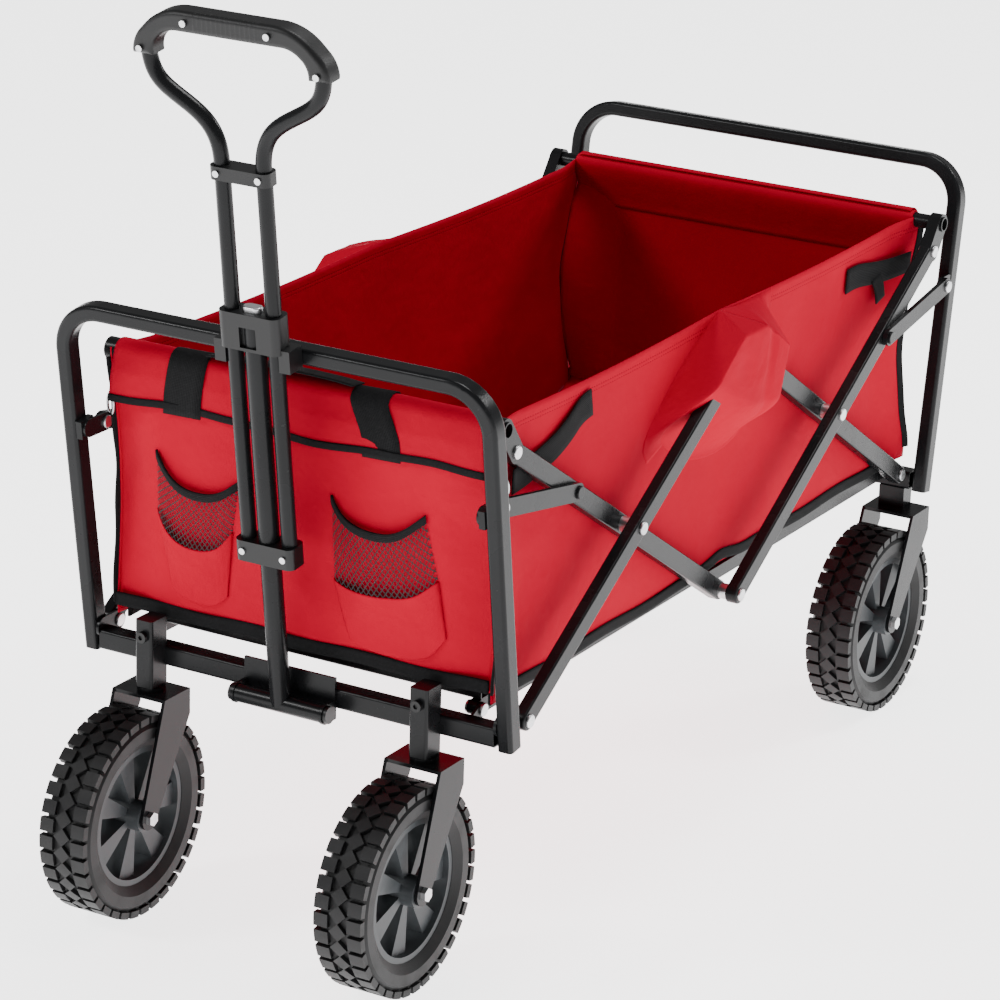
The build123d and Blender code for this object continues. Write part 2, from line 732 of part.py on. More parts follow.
tube_right = slide_tube(1)
tube_left = slide_tube(-1)
save(handle_place(tube_right), "slide_tube_right")
save(handle_place(tube_left), "slide_tube_left")

hub_low, hub_high = 367.0, 403.0
hub = handle_block(33, hub_low, hub_high, 24, 8.0)
hub += box_at(35, 3.5, 361, 12, 21, 22) + box_at(-35, 3.5, 361, 12, 21, 22)
for side in (-1, 1):
    hub -= slide_solid(side, slide_fit)
hub -= Pos(0, 0, centre_tube_top / 2) * Cylinder(centre_tube_radius, centre_tube_top)
hub -= box_at(0, -13, 380, 18, 10, 20)
button_seat = Pos(0, 0, 395) * extrude(SlotOverall(20.6, 12.6), amount=12)
hub -= button_seat
save(handle_place(hub.solids().sort_by(SortBy.VOLUME)[-1]), "handle_hub")
button = Pos(0, 0, 398.5) * extrude(SlotOverall(20.0, 12.0), amount=9.5)
button = fillet(button.edges().group_by(Axis.Z)[-1], 1.5)
save(handle_place(button), "hub_button")

collar = handle_block(32, 151, 172, 25, 7.0)
for side in (-1, 1):
    collar -= Pos(side * slide_tube_x, 0, 153 + 50) * Cylinder(slide_tube_radius, 100)
collar -= Pos(0, 0, 160) * Cylinder(centre_tube_radius + slide_fit, 100)
save(handle_place(collar.solids().sort_by(SortBy.VOLUME)[-1]), "slide_collar")

clamp = handle_block(32, 529, 542, 20, 7.0)
for side in (-1, 1):
    clamp -= slide_solid(side)
save(handle_place(clamp.solids().sort_by(SortBy.VOLUME)[-1]), "bow_clamp")


def grip():
    """The moulded grip: a broad arch that takes the ends of both slide tubes."""
    outer = Polygon(
        (-grip_half_width, 638), (-grip_half_width, 652), (-72, grip_top), (72, grip_top),
        (grip_half_width, 652), (grip_half_width, 638), align=None,
    )
    inner = Polygon((-82, 630), (-82, 650), (-66, 664), (66, 664), (82, 650), (82, 630), align=None)
    outer = fillet(outer.vertices().filter_by(lambda v: v.Y > grip_top - 1), 56)
    outer = fillet([v for v in outer.vertices() if abs(v.Y - 652) < 1 and abs(v.X) > 103], 32)
    inner = fillet(inner.vertices().filter_by(lambda v: v.Y > 663), 28)
    inner = fillet([v for v in inner.vertices() if abs(v.Y - 650) < 1 and abs(v.X) > 81], 19)
    shape = extrude(Plane.XZ * (outer - inner), amount=12, both=True)
    rounded = [e for e in shape.edges() if abs(e.center().Y) > 11.5]
    return fillet(rounded, 5.0)


grip_shape = grip()
for side in (-1, 1):
    grip_shape -= sweep(
        Plane(origin=(side * slide_tube_x, 0, 153), x_dir=(1, 0, 0), z_dir=(0, 0, 1))
        * Circle(slide_tube_radius),
        path=slide_path(side),
    )
save(handle_place(grip_shape), "handle_grip")


def screw(x, up, face):
    """A small round-headed screw on a front face at depth face."""
    head = Pos(x, -face - 0.9, up) * Rot(90, 0, 0) * Cylinder(3.2, 1.8)
    return head


screws = [screw(x, up, 13.0) for x in (-93.5, 93.5) for up in (644,)]
screws += [screw(x, 674, 13.0) for x in (-44, 44)]
screws += [screw(x, 535.5, 10.0) for x in (-22.5, 22.5)]
screws += [screw(x, 161.5, 12.5) for x in (-22.5, 22.5)]
save(handle_place(Compound(screws)), "handle_screws")

# bracket on the front beam: a base plate and an ear at each end of the pivot sleeve
beam_face = beam_y - cross_tube_size / 2
ear_x = sleeve_half + rest_gap + ear_steel / 2
bracket = box_at(0, beam_face - ear_steel / 2, 254, 2 * ear_x + ear_steel, ear_steel, 30)
bracket_top = box_at(0, (beam_face + beam_y) / 2 - ear_steel / 2, 258.5, 84, cross_tube_size / 2 + ear_steel, ear_steel)
bracket += bracket_top
for side in (-1, 1):
    wing = bar_between(
        side * ear_x, (beam_face - 2, handle_pivot_z), (-handle_pivot_y, handle_pivot_z), 20.0, ear_steel
    )
    bracket += wing - box_at(side * ear_x, beam_face + 10, handle_pivot_z, 10, 20, 40)
bracket -= rod_x(0, -handle_pivot_y, handle_pivot_z, axle_radius, 200)
save(bracket, "handle_bracket")

bolt_half = ear_x + ear_steel / 2
pivot_bolt = rod_x(0, -handle_pivot_y, handle_pivot_z, axle_radius, 2 * bolt_half)
for side in (-1, 1):
    pivot_bolt += rod_x(side * (bolt_half + 2), -handle_pivot_y, handle_pivot_z, 8.5, 4)
save(pivot_bolt, "handle_pivot_bolt")
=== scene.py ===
import json
import math
import bpy
import bmesh
from mathutils import Matrix, Vector, noise

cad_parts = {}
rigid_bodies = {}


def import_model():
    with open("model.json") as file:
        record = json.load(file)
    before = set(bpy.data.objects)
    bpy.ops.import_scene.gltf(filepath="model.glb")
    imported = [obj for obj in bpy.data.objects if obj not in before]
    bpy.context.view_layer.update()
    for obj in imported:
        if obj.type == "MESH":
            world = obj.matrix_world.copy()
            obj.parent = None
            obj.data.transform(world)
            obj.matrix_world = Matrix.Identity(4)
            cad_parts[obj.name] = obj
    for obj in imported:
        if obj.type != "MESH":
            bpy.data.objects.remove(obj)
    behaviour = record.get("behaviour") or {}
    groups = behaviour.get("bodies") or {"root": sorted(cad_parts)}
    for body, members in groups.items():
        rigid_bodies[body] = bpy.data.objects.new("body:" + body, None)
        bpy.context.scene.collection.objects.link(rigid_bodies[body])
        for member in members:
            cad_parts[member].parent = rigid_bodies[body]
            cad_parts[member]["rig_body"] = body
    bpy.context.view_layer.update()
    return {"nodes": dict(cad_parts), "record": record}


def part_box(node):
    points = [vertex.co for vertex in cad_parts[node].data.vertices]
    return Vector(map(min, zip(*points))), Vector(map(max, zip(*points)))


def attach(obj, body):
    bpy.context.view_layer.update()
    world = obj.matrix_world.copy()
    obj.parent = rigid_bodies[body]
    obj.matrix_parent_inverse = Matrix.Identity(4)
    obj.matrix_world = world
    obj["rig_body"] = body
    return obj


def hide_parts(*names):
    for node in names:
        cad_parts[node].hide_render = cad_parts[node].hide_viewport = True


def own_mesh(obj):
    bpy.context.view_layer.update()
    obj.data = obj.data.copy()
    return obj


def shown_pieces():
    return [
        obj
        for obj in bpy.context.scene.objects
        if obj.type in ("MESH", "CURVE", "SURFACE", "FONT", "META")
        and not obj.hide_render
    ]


# Folding camp wagon: cloth, webbing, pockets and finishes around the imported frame
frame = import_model()
print("frame loaded:", len(frame["nodes"]), "nodes")

matLow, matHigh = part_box("mat_front")[0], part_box("mat_rear")[1]
middleY = (matLow[1] + matHigh[1]) / 2  # the middle of the bed along the wagon
frontBody, rearBody = "wall_front", "wall_rear"


def at(x, y, z):  # millimetres about the middle of the bed, to metres in the wagon's frame
    return Vector((x / 1000, y / 1000 + middleY, z / 1000))


def ease(t):
    t = max(0.0, min(1.0, t))
    return t * t * (3 - 2 * t)


def mix(a, b, t):
    return a + (b - a) * t


def ripple(x, y, z, size, depth):  # a soft unevenness, depth in the same unit as x
    return depth * noise.noise(Vector((x / size, y / size, z / size)))


# finishes
class Wire:  # a socket that sums, scales and masks like a number
    def __init__(self, finish, socket):
        self.finish, self.socket = finish, socket

    def calc(self, operation, *others, first=None):
        values = [self, *others] if first is None else [first, self]
        return self.finish.add("ShaderNodeMath", {"operation": operation}, dict(enumerate(values)))

    def __add__(self, other):
        return self.calc("ADD", other)

    def __radd__(self, other):
        return self.calc("ADD", first=other)

    def __sub__(self, other):
        return self.calc("SUBTRACT", other)

    def __rsub__(self, other):
        return self.calc("SUBTRACT", first=other)

    def __mul__(self, other):
        return self.calc("MULTIPLY", other)

    def __rmul__(self, other):
        return self.calc("MULTIPLY", first=other)

    def __abs__(self):
        return self.calc("ABSOLUTE")

    def sine(self):
        return self.calc("SINE")

    def between(self, low, high):  # 0 below low, 1 above high
        return self.finish.add(
            "ShaderNodeMapRange", {"interpolation_type": "SMOOTHSTEP"}, {0: self, 1: low, 2: high}
        )


class Finish:
    def __init__(self, name, color, roughness, **fixed):
        self.material = bpy.data.materials.new(name)
        self.material.use_nodes = True
        self.tree = self.material.node_tree
        self.shader = self.tree.nodes["Principled BSDF"]
        self.base = (*color, 1.0)
        self.shader.inputs["Base Color"].default_value = self.base
        self.shader.inputs["Roughness"].default_value = roughness
        for socket, value in fixed.items():
            self.shader.inputs[socket.replace("_", " ")].default_value = value

    def add(self, kind, settings=None, sockets=None, output=0):
        node = self.tree.nodes.new(kind)
        for key, value in (settings or {}).items():
            if key == "stops":
                for stop, (place, shade) in zip(node.color_ramp.elements, value):
                    stop.position, stop.color = place, shade
            else:
                setattr(node, key, value)
        for key, value in (sockets or {}).items():
            if isinstance(value, Wire):
                self.tree.links.new(value.socket, node.inputs[key])
            else:
                node.inputs[key].default_value = value
        return Wire(self, node.outputs[output])

    def place(self):  # object coordinates, in metres
        return self.add("ShaderNodeTexCoord", output="Object")

    def flat(self):  # the piece's own cloth coordinates, in metres
        return self.add("ShaderNodeUVMap", {"uv_map": "cloth"})

    def split(self, vector, axis):
        return self.add("ShaderNodeSeparateXYZ", None, {0: vector}, output=axis)

    def cloud(self, where, scale, detail=3.0, roughness=0.55):
        sockets = {"Vector": where, "Scale": scale, "Detail": detail, "Roughness": roughness}
        return self.add("ShaderNodeTexNoise", None, sockets)

    def shade(self, mask, low, high):  # a colour between two, by mask
        sockets = {0: mask, 6: (*low, 1.0), 7: (*high, 1.0)}
        return self.add("ShaderNodeMix", {"data_type": "RGBA"}, sockets, output=2)

    def blendColor(self, mask, low, high):
        return self.add("ShaderNodeMix", {"data_type": "RGBA"}, {0: mask, 6: low, 7: high}, output=2)

    def bump(self, height, strength, distance, under=None):
        sockets = {"Height": height, "Strength": strength, "Distance": distance}
        if under is not None:
            sockets["Normal"] = under
        return self.add("ShaderNodeBump", None, sockets)

    def into(self, socket, wire):
        self.tree.links.new(wire.socket, self.shader.inputs[socket])


def scaled(color, factor):
    return tuple(min(1.0, c * factor) for c in color)


def powderCoat(name, color, roughness=0.34):
    f = Finish(name, color, roughness, Specular_IOR_Level=0.14)
    where = f.place()
    grain = f.cloud(where, 1400.0, 2.0)
    blotch = f.cloud(where, 14.0, 4.0)
    scuff = f.cloud(where, 120.0, 6.0, 0.7).between(0.63, 0.72)
    dust = blotch.between(0.42, 0.7)
    worn = f.blendColor(scuff * 0.22, f.shade(dust, color, scaled(color, 1.4)), (0.035, 0.035, 0.037, 1))
    f.into("Base Color", worn)
    f.into("Roughness", roughness + dust * 0.08 + scuff * 0.12)
    f.into("Normal", f.bump(grain, 0.16, 0.0004))
    return f.material


def zincPlate(name):
    color = (0.62, 0.62, 0.63)
    f = Finish(name, color, 0.3, Metallic=1.0)
    where = f.place()
    streak = f.cloud(where, 260.0, 5.0, 0.65)
    spot = f.cloud(where, 45.0, 3.0).between(0.45, 0.72)
    f.into("Base Color", f.shade(spot, color, (0.42, 0.42, 0.43)))
    f.into("Roughness", 0.24 + streak * 0.2)
    f.into("Normal", f.bump(streak, 0.12, 0.0003))
    return f.material


def mouldedPlastic(name, color, roughness, grainScale=900.0, ribs=None):
    f = Finish(name, color, roughness, Specular_IOR_Level=0.28)
    where = f.place()
    grain = f.cloud(where, grainScale, 2.0)
    wear = f.cloud(where, 30.0, 5.0, 0.6).between(0.5, 0.78)
    f.into("Base Color", f.shade(wear, color, scaled(color, 1.7)))
    f.into("Roughness", roughness + wear * 0.1 + grain * 0.06)
    height = grain
    if ribs is not None:  # raised bars across the middle of the grip
        across = f.split(where, 0)
        rows = (across * ribs["perMetre"]).sine().between(0.0, 0.35)
        inside = abs(across).between(ribs["half"] + 0.001, ribs["half"])
        height = grain * 0.2 + rows * inside
    f.into("Normal", f.bump(height, 0.3 if ribs else 0.2, 0.0011 if ribs else 0.0004))
    return f.material


def tyreRubber(name):
    color = (0.0065, 0.0065, 0.007)
    f = Finish(name, color, 0.6, Specular_IOR_Level=0.25)
    where = f.place()
    dust = f.cloud(where, 38.0, 6.0, 0.65).between(0.44, 0.75)
    pores = f.cloud(where, 1100.0, 3.0)
    f.into("Base Color", f.shade(dust, color, (0.013, 0.0128, 0.0125)))
    f.into("Roughness", 0.52 + dust * 0.16)
    f.into("Normal", f.bump(pores, 0.3, 0.0004))
    return f.material


def wovenCloth(name, color, pitch=0.0011, roughness=0.78, crease=1.0, stitches=()):
    f = Finish(name, color, roughness, Specular_IOR_Level=0.04)
    flat = f.flat()
    across, along = f.split(flat, 0), f.split(flat, 1)
    turn = 2 * math.pi / pitch
    warp, weft = (across * turn).sine(), (along * turn).sine()
    weave = warp * weft
    slub = f.cloud(flat, 420.0, 2.0)
    fade = f.cloud(flat, 6.0, 4.0).between(0.3, 0.75)
    soil = f.cloud(flat, 40.0, 5.0, 0.65).between(0.55, 0.85)
    tone = f.shade(fade, scaled(color, 0.93), scaled(color, 1.05))
    tone = f.blendColor(weave.between(-1.0, 1.0) * 0.1, tone, (*scaled(color, 0.72), 1))
    tone = f.blendColor(soil * 0.14, tone, (*scaled(color, 0.6), 1))
    height = weave * 0.12 + slub * 0.25
    for axis, place, half in stitches:  # a sewn line: a shallow groove with thread dashes in it
        line = along if axis else across
        run = across if axis else along
        groove = abs(line - place).between(half, 0.0)
        dash = (run * (2 * math.pi / 0.0042)).sine().between(-0.25, 0.2)
        tone = f.blendColor(groove * dash * 0.8, tone, (*scaled(color, 0.42), 1))
        height = height - groove * 1.6 + groove * dash * 0.9
    f.into("Base Color", tone)
    f.into("Roughness", roughness + slub * 0.08 - fade * 0.04)
    wrinkle = f.cloud(flat, 17.0, 3.0, 0.5) + f.cloud(flat, 55.0, 2.0) * 0.3
    under = f.bump(wrinkle, 0.22 * crease, 0.012)
    f.into("Normal", f.bump(height, 0.35, 0.0005, under))
    return f.material


def webTape(name, color=(0.008, 0.008, 0.0085), rib=0.0019):
    f = Finish(name, color, 0.82, Specular_IOR_Level=0.1)
    flat = f.flat()
    across, along = f.split(flat, 0), f.split(flat, 1)
    ribs = (across * (2 * math.pi / rib)).sine()
    picks = (along * (2 * math.pi / (rib * 0.8))).sine()
    lint = f.cloud(flat, 300.0, 4.0, 0.7).between(0.5, 0.8)
    tone = f.shade(lint, color, scaled(color, 2.2))
    f.into("Base Color", tone)
    f.into("Roughness", 0.78 + lint * 0.1)
    f.into("Normal", f.bump(ribs * 0.7 + picks * 0.35 + lint * 0.2, 0.5, 0.0005))
    return f.material


def netting(name, pitch=0.0056):
    f = Finish(name, (0.012, 0.012, 0.013), 0.7, Specular_IOR_Level=0.3)
    flat = f.flat()
    across, along = f.split(flat, 0), f.split(flat, 1)
    turn = math.pi / pitch
    wobble = f.cloud(flat, 60.0, 2.0) * 0.5
    one = abs(((across + along * 0.62) * turn + wobble).sine())
    two = abs(((across - along * 0.62) * turn + wobble).sine())
    threads = 1.0 - one.between(0.24, 0.4) * two.between(0.24, 0.4)
    f.into("Alpha", threads)
    f.into("Roughness", 0.6 + wobble * 0.2)
    f.into("Normal", f.bump(threads, 0.5, 0.0006))
    return f.material


redCloth = (0.42, 0.0008, 0.0190)
coat = powderCoat("darkPowderCoat", (0.0060, 0.0062, 0.0068), 0.24)
coatFork = powderCoat("forkPowderCoat", (0.0055, 0.0057, 0.0062), 0.2)
zinc = zincPlate("zincPlate")
plastic = mouldedPlastic("blackPlastic", (0.0042, 0.0042, 0.0046), 0.36)
gripRibs = {"perMetre": 1250.0, "half": 0.034}  # along x, between the middle screws
gripPlastic = mouldedPlastic("gripPlastic", (0.0052, 0.0052, 0.0056), 0.42, 900.0, gripRibs)
rimPlastic = mouldedPlastic("rimPlastic", (0.036, 0.040, 0.043), 0.42, 600.0)
rubber = tyreRubber("tyreRubber")
redSide = wovenCloth("redSideCloth", redCloth, stitches=[(1, 0.262, 0.0012), (1, 0.258, 0.0010)])
redWall = wovenCloth("redWallCloth", redCloth)
redPocket = wovenCloth("redPocketCloth", redCloth, crease=1.3)
matCloth = wovenCloth("matCloth", scaled(redCloth, 0.8), 0.0014, crease=0.5)
webbing = webTape("blackWebbing")
binding = webTape("blackBinding", (0.007, 0.007, 0.0075), 0.0012)
net = netting("blackNet")
print("finishes made")

nodeLooks = {
    "frame_paint": coat,
    "zinc": zinc,
    "black_plastic": plastic,
    "tyre_rubber": rubber,
    "rim_plastic": rimPlastic,
    "red_cloth": redWall,
    "mat_cloth": matCloth,
}
slotOf = {s["node"]: s["material_slot"] for s in frame["record"]["subparts"]}
for nodeName, nodeObject in frame["nodes"].items():
    look = nodeLooks[slotOf[nodeName]]
    if "fork" in nodeName:
        look = coatFork
    if nodeName == "handle_grip":
        look = gripPlastic
    if nodeName in ("handle_pivot_bolt", "socket_bolts"):  # black capped bolts
        look = plastic
    if nodeName == "hub_button":
        look = zinc
    nodeObject.data.materials.clear()
    nodeObject.data.materials.append(look)


def finishPiece(bm, name, look, body, thickness=0.0, smooth=True):
    mesh = bpy.data.meshes.new(name)
    bm.to_mesh(mesh)
    bm.free()
    mesh.materials.append(look)
    for face in mesh.polygons:
        face.use_smooth = smooth
    piece = bpy.data.objects.new(name, mesh)
    bpy.context.scene.collection.objects.link(piece)
    if thickness:
        wall = piece.modifiers.new("thickness", "SOLIDIFY")
        wall.thickness, wall.offset = thickness, 0.0
    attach(piece, body)
    return piece


def clothGrid(columns, rows, place, size, outward=None):  # place(u, v) gives the point for u across, v up
    bm = bmesh.new()
    bmesh.ops.create_grid(bm, x_segments=columns, y_segments=rows, size=0.5)
    layer = bm.loops.layers.uv.new("cloth")
    for face in bm.faces:
        for loop in face.loops:
            u, v = loop.vert.co.x + 0.5, loop.vert.co.y + 0.5
            loop[layer].uv = (u * size[0] / 1000, v * size[1] / 1000)
    for vert in bm.verts:
        vert.co = place(vert.co.x + 0.5, vert.co.y + 0.5)
    if outward is not None:
        bm.normal_update()
        total = sum((f.normal for f in bm.faces), Vector())
        if total.dot(Vector(outward)) < 0:
            bmesh.ops.reverse_faces(bm, faces=bm.faces[:])
    return bm


def alongPath(points, t):  # the point at share t of a path's length
    lengths = [(b - a).length for a, b in zip(points, points[1:])]
    left = t * sum(lengths)
    for a, b, run in zip(points, points[1:], lengths):
        if left <= run:
            return a.lerp(b, left / run if run else 0)
        left -= run
    return points[-1].copy()


def smoothPath(points, rounds=3):  # rounds a path's corners
    for _ in range(rounds):
        cut = [points[0]]
        for a, b in zip(points, points[1:]):
            cut += [a.lerp(b, 0.25), a.lerp(b, 0.75)]
        points = cut + [points[-1]]
    return points


def pathLength(points):
    return sum((b - a).length for a, b in zip(points, points[1:]))


def tape(name, points, wide, look, body, thickness=1.4, rounds=3, rows=None):
    # wide is the strip\'s width as a vector, or one for each end, in millimetres
    line = smoothPath([Vector(p) for p in points], rounds)
    ends = [Vector(w) for w in (wide if isinstance(wide, list) else [wide, wide])]
    length = pathLength(line)
    steps = rows or max(8, int(length / 6))

    def place(u, v):
        p = alongPath(line, v) + ends[0].lerp(ends[1], v) * (u - 0.5)
        return at(*p)

    bm = clothGrid(4, steps, place, (ends[0].length, length))
    return finishPiece(bm, name, look, body, thickness / 1000), length


# the tub
tub = {
    "half": 203.0,            # side cloth to the middle plane
    "flare": 212.0,           # the same at the end walls' corners
    "top": 546.0,
    "low": 273.0,
    "cloth": 1.3,
    "length": 860.0,
    "overlap": 2.5,           # the sides run this far past the corner seams
    "cornerRun": 14,          # the flare takes the last fourteenth of each side
    "sag": 4.0,               # of the top edge
    "belly": -0.6,
}
hemTube = {"y": -444.12, "z": 541.72, "r": 9.6}
floorHinge = {"y": 25.0, "spread": 30.0, "lift": 9.0}
wallCourse = [
    (407.8, 267), (407.8, 278), (410, 280.2), (420, 281), (438, 282), (445.5, 287), (447, 296),
    (450, 350), (453, 420), (456, 500), (456, 528),
]
courseFoot = 7                # points of the course up to the foot of the upright wall


def hingeLift(y):  # how far the floor's middle hinge pushes the tub's lower edge up
    return floorHinge["lift"] * math.exp(-((y - floorHinge["y"]) / floorHinge["spread"]) ** 2)


def seamY(end, z):  # where a corner seam lies along the wagon; end is -1 at the front, 1 at the rear
    up = (z - 285) / 260
    pull = 10.0 if end < 0 else 34.0
    return end * (mix(442, 453, up) - pull * math.sin(math.pi * max(0, min(1, up))) ** 1.3)


def sidePlace(side):
    def place(u, v):
        z = mix(tub["low"], tub["top"], v)
        front, rear = seamY(-1, z), seamY(1, z)
        y = mix(front - tub["overlap"], rear + tub["overlap"], u)
        edge = max(ease(1 - u * tub["cornerRun"]), ease(1 - (1 - u) * tub["cornerRun"]))
        x = mix(tub["half"], tub["flare"], edge * 0.9)
        belly = math.sin(math.pi * v) * (1 - edge)
        x += belly * (tub["belly"] + ripple(y, z, 0, 190, 2.2))
        x += ripple(y, z * 0.5, 7, 60, 0.9) * math.sin(math.pi * v)
        x = min(x, tub["half"] + 0.2 + 12 * edge)  # clear of the rivets
        sag = math.sin(math.pi * min(1, abs(y) / 430)) * tub["sag"] * v ** 3
        lift = hingeLift(y) * (1 - v) ** 6
        return at(side * x, y, z - sag + lift)

    return place


for side, sideName in ((1, "right"), (-1, "left")):
    bm = clothGrid(170, 44, sidePlace(side), (tub["length"], 273), (side, 0, 0))
    piece = finishPiece(bm, "side_" + sideName, redSide, frontBody, tub["cloth"] / 1000)
    if side > 0:
        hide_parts("tub_sides")
print("sides made")

wallShape = {
    "front": {"end": -1, "body": frontBody},
    "rear": {"end": 1, "body": rearBody},
}


def wallPath(end):  # over the floor tube, up the wall, round the top tube and down inside
    y0 = abs(hemTube["y"])
    r = hemTube["r"]
    points = list(wallCourse)
    for step in range(0, 9):
        turn = math.radians(-5 + step * 23)
        points.append((y0 + r * math.cos(turn), hemTube["z"] + r * math.sin(turn)))
    points += [(y0 - 8.6, 534), (443, 518), (450.5, 504), (454, 494)]
    return [Vector((0, end * y, z)) for y, z in points]


def wallPlace(end):
    line, half = wallPath(end), tub["flare"]

    def place(u, v):
        p = alongPath(line, v)
        across = u * 2 - 1
        x = across * half
        outer = ease((p.z - 292) / 40) * ease((528 - p.z) / 40) if v < 0.75 else 0
        near = ease((abs(across) - 0.72) / 0.28)
        seam = seamY(end, p.z)
        hold = ease((p.z - 284) / 8) * ease((545 - p.z) / 20) if v < 0.75 else 0
        y = mix(p.y, seam, near * hold)
        belly = math.cos(across * math.pi / 2) ** 0.7 * outer
        swell = 2.2 + ripple(x, p.z, 3 * end, 120, 3.4) + ripple(x, p.z * 0.6, 9 * end, 42, 1.1)
        y += end * belly * swell
        x *= 1 - 0.016 * (1 - outer) * (1 if p.z > 300 else 0)
        if p.z < 284:  # narrower where it runs in under the sides
            x *= mix(tub["half"] / half, 1.0, ease((abs(p.y) - 408) / 34))
        return at(x, y, p.z)

    return place, pathLength(line)


for name, wall in wallShape.items():
    place, length = wallPlace(wall["end"])
    bm = clothGrid(90, 84, place, (2 * tub["flare"], length))
    piece = finishPiece(bm, name + "_wall_cloth", redWall, wall["body"], tub["cloth"] / 1000)
    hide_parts(name + "_wall", "hem_" + name)
print("end walls made")

# the outer flap of each hem: cloth over the top tube, its lower edge bound in black
for name, end, body in (("front", -1, frontBody), ("rear", 1, rearBody)):
    y0 = abs(hemTube["y"])
    course = []
    for step in range(0, 6):
        turn = math.radians(118 - step * 24)
        course.append(Vector((0, end * (y0 + 12.2 * math.cos(turn)), hemTube["z"] + 12.2 * math.sin(turn))))
    course += [Vector((0, end * 459.5, 525)), Vector((0, end * 460.5, 499))]
    flapLength = pathLength(course)

    def flapPlace(u, v, end=end, course=course):
        p = alongPath(course, v)
        across = u * 2 - 1
        x = across * mix(205, 209, v)
        sway = ease((v - 0.45) / 0.55)
        y = p.y + end * sway * (1.6 + ripple(x, p.z, 5, 70, 3.0))
        drop = sway * (2.0 * math.sin(across * 5 + 1) + ripple(x, 0, 0, 55, 2.0))
        return at(x, y, p.z - drop)

    bm = clothGrid(84, 22, flapPlace, (418, flapLength))
    piece = finishPiece(bm, "hem_flap_" + name, redWall, body, 0.0013)
    edge = [flapPlace(i / 60, 1.0) for i in range(61)]
    edge = [((p.x) * 1000, (p.y - middleY) * 1000 + end * 0.6, p.z * 1000 + 1.5) for p in edge]
    tape("hem_edge_" + name, edge, (0, 0, 7), binding, body, thickness=2.6, rounds=0, rows=90)


# a pleat over the upper middle hinge on each side: a ridge with its tip at the top front corner
pleat = {
    "root": 202.9,            # where it leaves the side cloth
    "out": 246.4,
    "tip": 207.0,
    "front": 0.2,             # share of the width in front of the ridge
    "hingeZ": 521.0,
    "ridge": [(-4, 546), (-40, 524), (-104, 475), (-124, 452), (-112, 434)],
    "top": [(-4, 546), (22, 532), (64, 508), (112, 466)],
    "low": [(-112, 434), (-60, 400), (36, 392), (118, 438)],
}


def pleatPlace(side):
    ridge, top, low = ([Vector((0, y, z)) for y, z in pleat[k]] for k in ("ridge", "top", "low"))
    low, top, ridge = smoothPath(low, 2), smoothPath(top, 1), smoothPath(ridge, 1)

    def place(u, v):
        front = min(1.0, u / pleat["front"])
        run = max(0.0, (u - pleat["front"]) / (1 - pleat["front"]))
        start = alongPath(ridge, v)
        p = alongPath(top, run).lerp(alongPath(low, run), v)
        p += (start - p) * max(0.0, 1 - run * 6)
        share = (1 - ease((run - 0.62) / 0.38)) * (1 - ease((v - 0.5) / 0.5))
        full = mix(pleat["tip"], pleat["out"], min(1.0, (top[0].z - p.z) / 13))
        hinge = math.exp(-((p.y / 26) ** 2 + ((p.z - pleat["hingeZ"]) / 22) ** 2))
        fold = math.exp(-((run - 0.34 - v * 0.3) / 0.07) ** 2)
        crease = ripple(p.y, p.z, 1, 42, 3.0) * min(1, run * 5) - 3.0 * fold
        x = mix(pleat["root"], full, share * ease(front)) + min(0.0, crease) * share * (1 - hinge) * front
        spread = 30 * (1 - front) * ease(v / 0.25)
        return at(side * x, p.y - spread, p.z - 0.35 * spread)

    return place


for side, sideName in ((1, "right"), (-1, "left")):
    bm = clothGrid(96, 60, pleatPlace(side), (262, 150), (side, 0, 0))
    piece = finishPiece(bm, "pleat_" + sideName, redPocket, frontBody, 0.0013)

    def roofPlace(u, v, side=side):  # closes the pleat's top back to the side cloth
        outer = pleatPlace(side)(u, 0.0)
        inner = at(side * 203.4, mix(-2, 112, u), tub["top"] - 3.5)
        p = outer.lerp(inner, v)
        p.z += 0.002 * math.sin(math.pi * v) * math.sin(math.pi * u)
        return p

    bm = clothGrid(96, 10, roofPlace, (190, 36), (0, 0, 1))
    piece = finishPiece(bm, "pleat_top_" + sideName, redPocket, frontBody, 0.0011)
print("pleats made")


# floor cloth and the stiff mat in it
def floorPlace(u, v):
    x, y = mix(-210, 210, u), mix(-407, 407, v)
    edge = max(0.0, abs(x) - 197.0)  # the edges turn up inside the sides
    lift = edge / 13 * (11 + hingeLift(y))
    x = math.copysign(min(abs(x), 197.0 + edge * 0.34), x)
    return at(x, y, 265.6 + lift + ripple(x, y, 0, 80, 0.25))


bm = clothGrid(84, 80, floorPlace, (420, 814), (0, 0, 1))
floorCloth = finishPiece(bm, "floor_cloth", redWall, frontBody, 0.0009)


